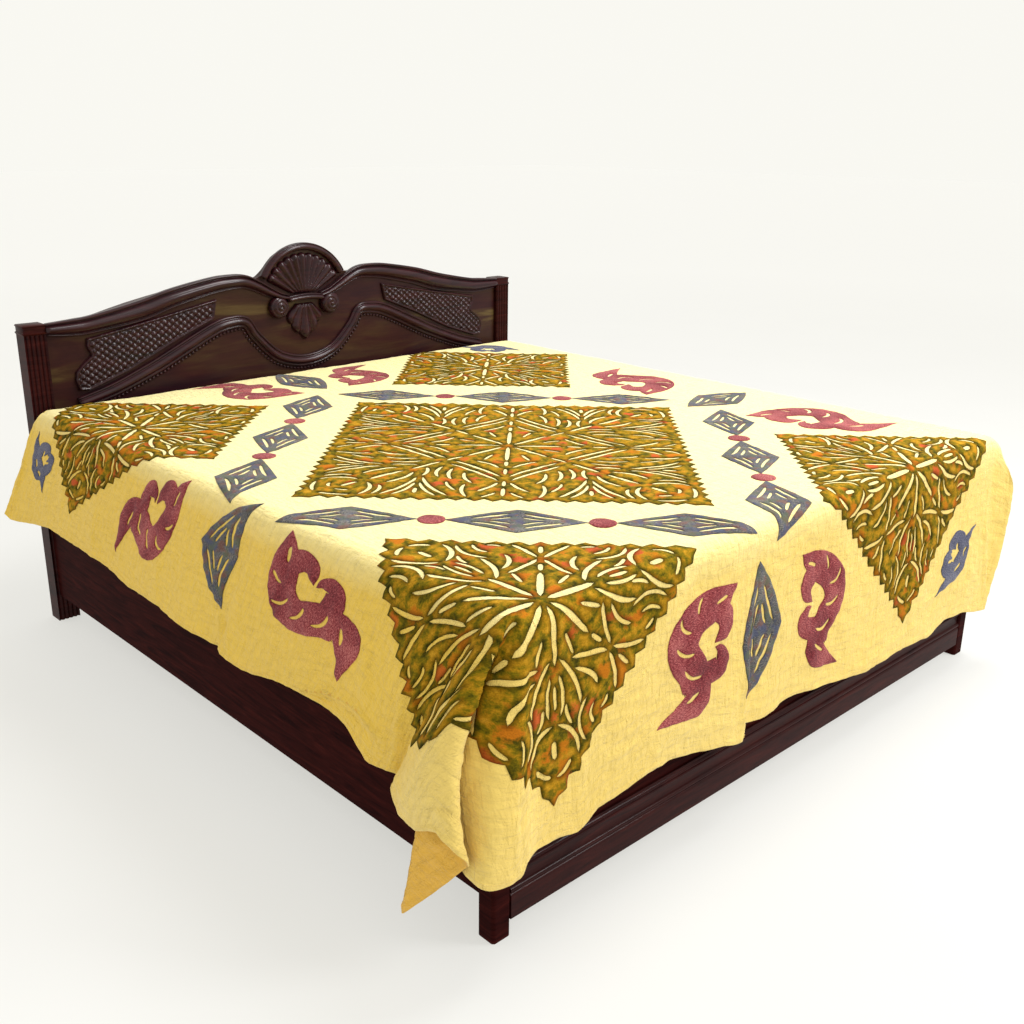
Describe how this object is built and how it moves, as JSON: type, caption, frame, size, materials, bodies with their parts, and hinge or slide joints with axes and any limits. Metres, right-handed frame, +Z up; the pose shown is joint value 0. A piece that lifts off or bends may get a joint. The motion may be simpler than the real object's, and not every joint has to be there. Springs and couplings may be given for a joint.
{
  "type": "applique bedspread on a wooden bed",
  "caption": "Yellow cotton bedspread with toothed applique squares, draped unevenly over a mattress on a dark wooden bed with a carved headboard.",
  "frame": {"origin": "on the floor, under the middle of the whole object's box", "axes": "+Z up, +Y towards the headboard, +X across the bed to the right of someone who stands at its foot"},
  "size_m": [2.0764, 2.1546, 1.1],
  "materials": {
    "wood": "polished dark mahogany stain",
    "cotton": "matt plain-woven cotton",
    "print": "matt printed cotton",
    "ticking": "matt woven ticking"
  },
  "bodies": {
    "root": {"foot_leg_left": "wood", "foot_leg_right": "wood", "head_post_left": "wood", "head_post_right": "wood", "side_rail_left": "wood", "side_rail_right": "wood", "foot_rail": "wood", "foot_moulding": "wood", "deck": "wood", "headboard_panel": "wood", "lower_moulding": "wood", "cornice_left": "wood", "cornice_right": "wood", "lattice_panel_left": "wood", "lattice_panel_right": "wood", "volute_left": "wood", "volute_right": "wood", "shell_crest": "wood", "shell_pendant": "wood", "mattress": "ticking", "bedspread": "cotton", "applique_centre": "print", "applique_foot_left": "print", "applique_foot_right": "print", "applique_head_left": "print", "applique_head_right": "print"}
  },
  "joints": []
}
